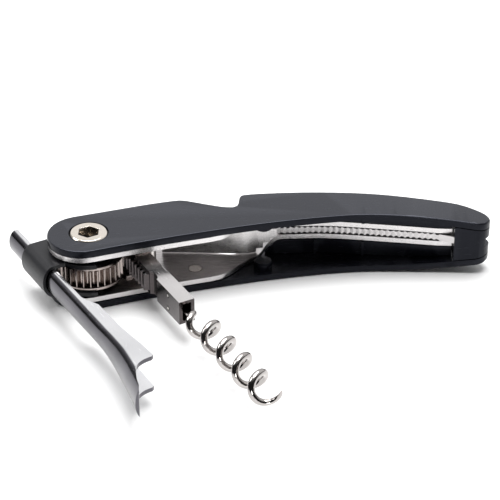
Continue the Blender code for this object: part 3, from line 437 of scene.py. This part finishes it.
# %% Group: handling scratches
SCRATCH_SETS = ((0.4, 160.0), (1.3, 210.0), (2.5, 185.0))    # direction, streaks per metre
SCRATCH_TURN = (0.3, 0.5, 1.0)     # how far a set's direction turns it about X, Y and Z
SCRATCH_SLIMNESS = 14.0
SCRATCH_FROM, SCRATCH_FULL = 0.72, 0.76    # only the noise's highest peaks show
handling_scratches = bpy.data.node_groups.new("handling_scratches", "ShaderNodeTree")
group_sockets(handling_scratches,
              [("Vector", "NodeSocketVector", None), ("Amount", "NodeSocketFloat", 0.5)],
              [("Scratches", "NodeSocketFloat")])
scratch_in = add(handling_scratches, "NodeGroupInput")
scratch_out = add(handling_scratches, "NodeGroupOutput")
total = None
for turn, density in SCRATCH_SETS:
    turned = add(handling_scratches, "ShaderNodeMapping")
    turned.inputs["Rotation"].default_value = [turn * share for share in SCRATCH_TURN]
    turned.inputs["Scale"].default_value = (1.0, SCRATCH_SLIMNESS, SCRATCH_SLIMNESS)
    wire(handling_scratches, scratch_in.outputs["Vector"], turned.inputs["Vector"])
    streaks = add(handling_scratches, "ShaderNodeTexNoise")
    streaks.inputs["Scale"].default_value = density
    streaks.inputs["Detail"].default_value = 1.0
    wire(handling_scratches, turned.outputs[0], streaks.inputs["Vector"])
    thin = add(handling_scratches, "ShaderNodeMapRange")
    thin.inputs["From Min"].default_value = SCRATCH_FROM
    thin.inputs["From Max"].default_value = SCRATCH_FULL
    wire(handling_scratches, streaks.outputs["Fac"], thin.inputs["Value"])
    if total is None:
        total = thin.outputs[0]
    else:
        joined = add(handling_scratches, "ShaderNodeMath", operation="MAXIMUM")
        wire(handling_scratches, total, joined.inputs[0])
        wire(handling_scratches, thin.outputs[0], joined.inputs[1])
        total = joined.outputs[0]
scaled = add(handling_scratches, "ShaderNodeMath", operation="MULTIPLY")
wire(handling_scratches, total, scaled.inputs[0])
wire(handling_scratches, scratch_in.outputs["Amount"], scaled.inputs[1])
wire(handling_scratches, scaled.outputs[0], scratch_out.inputs["Scratches"])
print("group handling_scratches has", len(handling_scratches.nodes), "nodes")

# %% [markdown]
# Pointiness measures how sharply a surface bends outward, so it picks out the edges.

# %% Group: bright edges
EDGE_FROM = 0.53                   # pointiness above which a surface counts as an edge
bright_edges = bpy.data.node_groups.new("bright_edges", "ShaderNodeTree")
group_sockets(bright_edges, [("Softness", "NodeSocketFloat", 0.06)],
              [("Edge", "NodeSocketFloat")])
edge_in = add(bright_edges, "NodeGroupInput")
edge_out = add(bright_edges, "NodeGroupOutput")
surface = add(bright_edges, "ShaderNodeNewGeometry")
above = add(bright_edges, "ShaderNodeMath", operation="SUBTRACT")
above.inputs[1].default_value = EDGE_FROM
wire(bright_edges, surface.outputs["Pointiness"], above.inputs[0])
edge = add(bright_edges, "ShaderNodeMath", operation="DIVIDE", use_clamp=True)
wire(bright_edges, above.outputs[0], edge.inputs[0])
wire(bright_edges, edge_in.outputs["Softness"], edge.inputs[1])
wire(bright_edges, edge.outputs[0], edge_out.inputs["Edge"])
print("group bright_edges has", len(bright_edges.nodes), "nodes")

# %% [markdown]
# ## Building a finish
# A finish starts from one Principled shader. Its colour moves between two tones under a
# mask, its roughness moves between two values, and a bump carries the fine relief.

# %% Helpers that build a finish
MIX_MASK, MIX_FIRST, MIX_SECOND, MIX_RESULT = 0, 6, 7, 2    # sockets of a colour mix
NOISE_LOW, NOISE_HIGH = 0.3, 0.7   # nearly all of a noise lies between these
FLAT_FROM, FLAT_FULL = 0.9, 0.98   # upward part of the normal on a face that lies flat


def place_group(tree, group, vector=None, **values):
    """Puts a group in a material and sets its inputs, with _ for each space in a name."""
    node = add(tree, "ShaderNodeGroup", node_tree=group)
    if vector is not None:
        wire(tree, vector, node.inputs["Vector"])
    for name, value in values.items():
        node.inputs[name.replace("_", " ")].default_value = value
    return node


def start_finish(name, centre=(0, 0, 0), turn=0.0):
    """A material with its shader and object coordinates, centred and turned on the piece."""
    material = bpy.data.materials.new(name)
    material.use_nodes = True
    tree = material.node_tree
    shader = tree.nodes["Principled BSDF"]
    coordinates = add(tree, "ShaderNodeTexCoord")
    mapping = add(tree, "ShaderNodeMapping", vector_type="TEXTURE")
    mapping.inputs["Location"].default_value = centre
    mapping.inputs["Rotation"].default_value = (0, 0, turn)
    wire(tree, coordinates.outputs["Object"], mapping.inputs["Vector"])
    return material, tree, shader, mapping.outputs["Vector"]


def two_tone(tree, mask, first, second, target=None):
    """Mixes two colours under a mask, into a socket if one is given."""
    mix = add(tree, "ShaderNodeMix", data_type="RGBA")
    mix.inputs[MIX_FIRST].default_value = (*first, 1)
    mix.inputs[MIX_SECOND].default_value = (*second, 1)
    wire(tree, mask, mix.inputs[MIX_MASK])
    if target is not None:
        wire(tree, mix.outputs[MIX_RESULT], target)
    return mix.outputs[MIX_RESULT]


def blend(tree, mask, first, second):
    """Mixes two colour sockets under a mask."""
    mix = add(tree, "ShaderNodeMix", data_type="RGBA")
    wire(tree, mask, mix.inputs[MIX_MASK])
    wire(tree, first, mix.inputs[MIX_FIRST])
    wire(tree, second, mix.inputs[MIX_SECOND])
    return mix.outputs[MIX_RESULT]


def lies_flat(tree):
    """A mask that is 1 on faces that look straight up or down, and 0 on upright ones."""
    facing = add(tree, "ShaderNodeTexCoord")
    parts = add(tree, "ShaderNodeSeparateXYZ")
    upward = add(tree, "ShaderNodeMath", operation="ABSOLUTE")
    ranged = add(tree, "ShaderNodeMapRange")
    ranged.inputs["From Min"].default_value = FLAT_FROM
    ranged.inputs["From Max"].default_value = FLAT_FULL
    wire(tree, facing.outputs["Normal"], parts.inputs[0])
    wire(tree, parts.outputs["Z"], upward.inputs[0])
    wire(tree, upward.outputs[0], ranged.inputs["Value"])
    return ranged.outputs[0]


def within_radius(tree, radius):
    """A mask that is 1 nearer to the upright line through the origin than a radius."""
    place = add(tree, "ShaderNodeTexCoord")
    flatten = add(tree, "ShaderNodeVectorMath", operation="MULTIPLY")
    flatten.inputs[1].default_value = (1, 1, 0)
    distance = add(tree, "ShaderNodeVectorMath", operation="LENGTH")
    near = add(tree, "ShaderNodeMath", operation="LESS_THAN")
    near.inputs[1].default_value = radius
    wire(tree, place.outputs["Object"], flatten.inputs[0])
    wire(tree, flatten.outputs["Vector"], distance.inputs[0])
    wire(tree, distance.outputs["Value"], near.inputs[0])
    return near.outputs[0]


def between(tree, value, low, high, target=None):
    """Maps a noise value on to a range."""
    ranged = add(tree, "ShaderNodeMapRange")
    ranged.inputs["From Min"].default_value = NOISE_LOW
    ranged.inputs["From Max"].default_value = NOISE_HIGH
    ranged.inputs["To Min"].default_value = low
    ranged.inputs["To Max"].default_value = high
    wire(tree, value, ranged.inputs["Value"])
    if target is not None:
        wire(tree, ranged.outputs[0], target)
    return ranged.outputs[0]


def relief(tree, value, depth, shader, strength=1.0):
    """Lets a value raise the surface by up to a depth."""
    bump = add(tree, "ShaderNodeBump")
    bump.inputs["Strength"].default_value = strength
    bump.inputs["Distance"].default_value = depth
    wire(tree, value, bump.inputs["Height"])
    wire(tree, bump.outputs["Normal"], shader.inputs["Normal"])


def plus(tree, first, second):
    """The sum of two values, kept within 0 to 1."""
    total_value = add(tree, "ShaderNodeMath", operation="ADD", use_clamp=True)
    wire(tree, first, total_value.inputs[0])
    wire(tree, second, total_value.inputs[1])
    return total_value.outputs[0]


def paint(material, *names):
    """Gives a material to pieces and CAD parts."""
    for name in names:
        piece = bpy.data.objects.get(name) or frame["nodes"][name]
        piece.data.materials.clear()
        piece.data.materials.append(material)
    print(material.name, "on", len(names))


# %% [markdown]
# ## Moulded polymer
# The covers are finished as a nearly black polymer with a cool sheen that is clear but not
# mirror-like, a very fine grain, and slightly paler edges, as if rubbed by hands. Upright
# sides face the white floor, which would turn them grey, so their sheen is set lower than
# that of the broad faces.

# %% Finish of the covers
SIDE_SHEEN, FACE_SHEEN = 0.16, 0.55
COVER_BLACK, COVER_RUBBED = (0.004, 0.0042, 0.0065), (0.012, 0.0125, 0.016)
COOL_SHEEN = (0.8, 0.84, 1.0)
COVER_GLOSS = (0.2, 0.25)
COVER_GRAIN_DEPTH = 0.01 * MM


def moulded_finish(name, centre):
    material, tree, shader, vector = start_finish(name, centre)
    grain = place_group(tree, fine_grain, vector, Grain_Size=0.25)
    scratches = place_group(tree, handling_scratches, vector, Amount=0.25)
    edges = place_group(tree, bright_edges)
    two_tone(tree, edges.outputs["Edge"], COVER_BLACK, COVER_RUBBED, shader.inputs["Base Color"])
    shader.inputs["Specular Tint"].default_value = (*COOL_SHEEN, 1)
    sheen = add(tree, "ShaderNodeMapRange")
    sheen.inputs["To Min"].default_value = SIDE_SHEEN
    sheen.inputs["To Max"].default_value = FACE_SHEEN
    wire(tree, lies_flat(tree), sheen.inputs["Value"])
    wire(tree, sheen.outputs[0], shader.inputs["Specular IOR Level"])
    base = between(tree, grain.outputs["Clouds"], *COVER_GLOSS)
    wire(tree, plus(tree, base, scratches.outputs["Scratches"]), shader.inputs["Roughness"])
    relief(tree, grain.outputs["Grain"], COVER_GRAIN_DEPTH, shader, strength=0.35)
    return material


cover_low, cover_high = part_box("upper_cover")
cover_centre = tuple((cover_low + cover_high) / 2)
paint(moulded_finish("moulded_black", cover_centre),
      "upper_cover_moulded", "lower_cover_moulded", "tail_block_moulded")


# %% [markdown]
# ## Metals
# All the metals share one recipe: two close tones under a cloudy mask, lines that run the
# way the part was rolled, drawn or ground, and a few fine scratches. What differs is the
# colour, the gloss and the direction of the lines. Upright steel mirrors the floor, and on
# a white floor it would turn white too. The sides of the bar and the lever are therefore
# given a darker tone than their flat faces, as painted shade. The cut edges of the liners
# and the wall of the well get a brighter tone, as a painted highlight. The hexagon in the
# axle's head is painted nearly black, as painted shade for a deep hole.

# %% Recipe for the metals
MID_HEIGHT = 10 * MM


def metal_finish(name, tones, gloss, width=0.08, length=8.0, depth=0.004, turn=0.0,
                 upright=False, scratched=0.15, painted_upright_tones=None, hole_shade_radius=None):
    """tones are the two close colours and gloss the range of roughness. painted_upright_tones,
    when given, are used on faces that don't lie flat, as painted shade or a painted highlight
    on upright sides. hole_shade_radius is a radius about the axle within which the metal is
    painted nearly black, as painted shade in the hexagon socket. width and length of the
    lines and depth are in mm."""
    material, tree, shader, vector = start_finish(name, (0, 0, MID_HEIGHT), turn)
    shader.inputs["Metallic"].default_value = 1.0
    if upright:
        tip_over = add(tree, "ShaderNodeMapping")
        tip_over.inputs["Rotation"].default_value = (0, math.pi / 2, 0)
        wire(tree, vector, tip_over.inputs["Vector"])
        vector = tip_over.outputs[0]
    lines = place_group(tree, drawn_lines, vector, Line_Width=width, Line_Length=length)
    grain = place_group(tree, fine_grain, vector, Grain_Size=1.5)
    scratches = place_group(tree, handling_scratches, vector, Amount=scratched)
    tone = between(tree, grain.outputs["Clouds"], 0.0, 1.0)
    colour = two_tone(tree, tone, *tones)
    # Painted shade and painted highlight: faces that don't lie flat get their own tones, darker or
    # brighter than the flat faces, in place of what they would mirror.
    if painted_upright_tones:
        flat = lies_flat(tree)
        colour = blend(tree, flat, two_tone(tree, tone, *painted_upright_tones), colour)
    # Painted shade: within the hexagon socket's radius the colour is nearly black, as a deep hole
    # looks.
    if hole_shade_radius:
        inside = within_radius(tree, hole_shade_radius)
        colour = blend(tree, inside, colour, two_tone(tree, tone, *HOLE_SHADE_TONES))
    wire(tree, colour, shader.inputs["Base Color"])
    base = between(tree, lines.outputs["Lines"], *gloss)
    wire(tree, plus(tree, base, scratches.outputs["Scratches"]), shader.inputs["Roughness"])
    relief(tree, lines.outputs["Lines"], depth * MM, shader)
    return material


# %% [markdown]
# Each call below says which two tones a steel part has, how glossy it is and which way its
# lines run. Warm tones suit the turned and cut parts, and cooler ones the lever.

# %% Finishes of the steel parts
# Painted shade for the hexagon socket in the axle's head: nearly black tones.
HOLE_SHADE_TONES = ((0.01, 0.009, 0.008), (0.016, 0.014, 0.012))
HEX_RADIUS = 2.85 * MM

# The liners' cut edges and the well's wall get brighter tones than the flat sheet: a painted
# highlight.
paint(metal_finish("rolled_steel", ((0.42, 0.4, 0.4), (0.5, 0.48, 0.48)), (0.22, 0.36),
                   painted_upright_tones=((0.62, 0.6, 0.6), (0.72, 0.7, 0.7))),
      "upper_liner_sheet", "lower_liner_sheet", "well_web_sheet")
paint(metal_finish("turned_steel", ((0.74, 0.68, 0.6), (0.82, 0.76, 0.69)), (0.12, 0.22),
                   width=0.05, length=2.0, depth=0.002, hole_shade_radius=HEX_RADIUS),
      "axle_head_turned", "axle_screw")
paint(metal_finish("bright_turned", ((0.6, 0.57, 0.54), (0.7, 0.67, 0.64)), (0.12, 0.22),
                   width=0.05, length=2.0, depth=0.002),
      "axle_washer_upper", "axle_washer_lower", "gear_key",
      "knife_pin", "roller_pin_front", "roller_pin_rear", "guide_roller_front",
      "guide_roller_rear", "upper_liner_screw_1", "upper_liner_screw_2",
      "lower_liner_screw_1", "lower_liner_screw_2", "worm_pin_upper", "worm_pin_lower")
paint(metal_finish("gear_steel", ((0.32, 0.275, 0.255), (0.44, 0.385, 0.36)), (0.14, 0.28),
                   width=0.06, length=3.0, upright=True),
      "pinion_milled", "upper_yoke_plate_milled", "lower_yoke_plate_milled")
# The bar's sides get much darker tones than its top: painted shade.
paint(metal_finish("ground_steel", ((0.62, 0.6, 0.6), (0.72, 0.7, 0.7)), (0.14, 0.26),
                   turn=bar_angle, painted_upright_tones=((0.05, 0.043, 0.043), (0.11, 0.099, 0.1))),
      "rack_bar_milled")
paint(metal_finish("worm_chrome", ((0.4, 0.375, 0.365), (0.48, 0.455, 0.44)), (0.05, 0.1),
                   width=0.2, length=6.0, depth=0.001, turn=bar_angle, scratched=0.08),
      "worm_wound")
# The lever's steel is bright. Its sides get much darker tones than its flat faces, and this
# painted shade makes the lever look dark.
paint(metal_finish("lever_polished_painted_shade", ((0.72, 0.72, 0.74), (0.82, 0.82, 0.84)), (0.14, 0.22),
                   width=0.1, length=14.0, depth=0.002, turn=lever_angle,
                   painted_upright_tones=((0.075, 0.073, 0.083), (0.13, 0.126, 0.14))),
      "lever_pressed")
paint(metal_finish("satin_blade", ((0.56, 0.54, 0.54), (0.66, 0.64, 0.64)), (0.24, 0.38),
                   width=0.05, length=4.0),
      "knife_ground")


# %% [markdown]
# ## Satin paint
# The bracket is finished as metal painted black. Paint flows, so it has a faint orange
# peel, and it thins on edges, where it looks a shade paler.

# %% Finish of the bracket
PAINT_BLACK, PAINT_THIN = (0.008, 0.008, 0.01), (0.02, 0.02, 0.023)
PAINT_SHEEN = 0.3
PAINT_GLOSS = (0.36, 0.46)
PEEL_DEPTH = 0.012 * MM


def painted_finish(name):
    material, tree, shader, vector = start_finish(name)
    peel = place_group(tree, fine_grain, vector, Grain_Size=0.6)
    edges = place_group(tree, bright_edges)
    scratches = place_group(tree, handling_scratches, vector, Amount=0.3)
    two_tone(tree, edges.outputs["Edge"], PAINT_BLACK, PAINT_THIN, shader.inputs["Base Color"])
    shader.inputs["Specular IOR Level"].default_value = PAINT_SHEEN
    base = between(tree, peel.outputs["Clouds"], *PAINT_GLOSS)
    wire(tree, plus(tree, base, scratches.outputs["Scratches"]), shader.inputs["Roughness"])
    relief(tree, peel.outputs["Grain"], PEEL_DEPTH, shader, strength=0.5)
    return material


paint(painted_finish("satin_paint"), "bracket_painted")

# %% [markdown]
# ## Floor and light
# A white sheet lies under the tool. A large soft lamp hangs over it, a smaller one stands to
# the left, and a weak one near the floor reaches into the open front of the handle.

# %% Floor
FLOOR_SIZE = 6.0
FLOOR_DROP = 0.05 * MM             # keeps the sheet just clear of the lowest face
FLOOR_WHITE = (0.88, 0.88, 0.88, 1)
FLOOR_ROUGHNESS = 0.35
bpy.ops.object.select_all(action="DESELECT")
bpy.ops.mesh.primitive_plane_add(size=FLOOR_SIZE, location=(0, 0, -FLOOR_DROP))
floor = bpy.context.active_object
floor.name = "studio_floor"
floor_paper = bpy.data.materials.new("floor_paper")
floor_paper.use_nodes = True
floor_shader = floor_paper.node_tree.nodes["Principled BSDF"]
floor_shader.inputs["Base Color"].default_value = FLOOR_WHITE
floor_shader.inputs["Roughness"].default_value = FLOOR_ROUGHNESS
floor.data.materials.append(floor_paper)
print("floor", FLOOR_SIZE, "m across")


# %% [markdown]
# Large lamps give soft shadows, and they show up in the steel as broad bright shapes.

# %% Lights
def soft_light(name, place, aim, size, power):
    """A square lamp that looks at a point."""
    lamp = bpy.data.lights.new(name, "AREA")
    lamp.shape = "SQUARE"
    lamp.size = size
    lamp.energy = power
    lamp_object = bpy.data.objects.new(name, lamp)
    bpy.context.scene.collection.objects.link(lamp_object)
    lamp_object.location = place
    direction = [a - p for a, p in zip(aim, place)]
    lamp_object.rotation_euler = Vector(direction).to_track_quat("-Z", "Y").to_euler()


CENTRE_OF_TOOL = (0.045, -0.02, 0.01)
OPEN_FRONT = (0.08, 0.01, 0.01)
soft_light("overhead_softbox", (0.05, 0.15, 1.0), CENTRE_OF_TOOL, size=0.8, power=14.0)
soft_light("left_softbox", (-0.7, 0.1, 0.6), CENTRE_OF_TOOL, size=0.35, power=3.0)
soft_light("low_front_fill", (0.2, -0.9, 0.14), OPEN_FRONT, size=0.12, power=0.9)
print("lamps:", len(bpy.data.lights))

# %% [markdown]
# The sky is white above and behind the tool and dark low down in front of it. Steel mirrors
# both, and that contrast is what reads as polish.

# %% Sky
SKY_LEAN = (0.12, 0.45, 0.55)      # how much X, Y and Z brighten the sky
SKY_STOPS = ((0.0, 0.02), (0.16, 0.05), (0.34, 0.32), (0.52, 0.95), (1.0, 1.0))
sky = bpy.data.worlds.new("studio_sky")
sky.use_nodes = True
bpy.context.scene.world = sky
sky_tree = sky.node_tree
sky_direction = add(sky_tree, "ShaderNodeTexCoord")
sky_height = add(sky_tree, "ShaderNodeVectorMath", operation="DOT_PRODUCT")
sky_height.inputs[1].default_value = SKY_LEAN
sky_ramp = add(sky_tree, "ShaderNodeValToRGB")
while len(sky_ramp.color_ramp.elements) < len(SKY_STOPS):
    sky_ramp.color_ramp.elements.new(0.5)
for element, (position, level) in zip(sky_ramp.color_ramp.elements, SKY_STOPS):
    element.position = position
    element.color = (level, level, level, 1)
wire(sky_tree, sky_direction.outputs["Generated"], sky_height.inputs[0])
wire(sky_tree, sky_height.outputs["Value"], sky_ramp.inputs["Fac"])
wire(sky_tree, sky_ramp.outputs["Color"], sky_tree.nodes["Background"].inputs["Color"])
sky_tree.nodes["Background"].inputs["Strength"].default_value = 1.0
bpy.context.scene.view_settings.view_transform = "Standard"
print("sky has", len(SKY_STOPS), "stops")
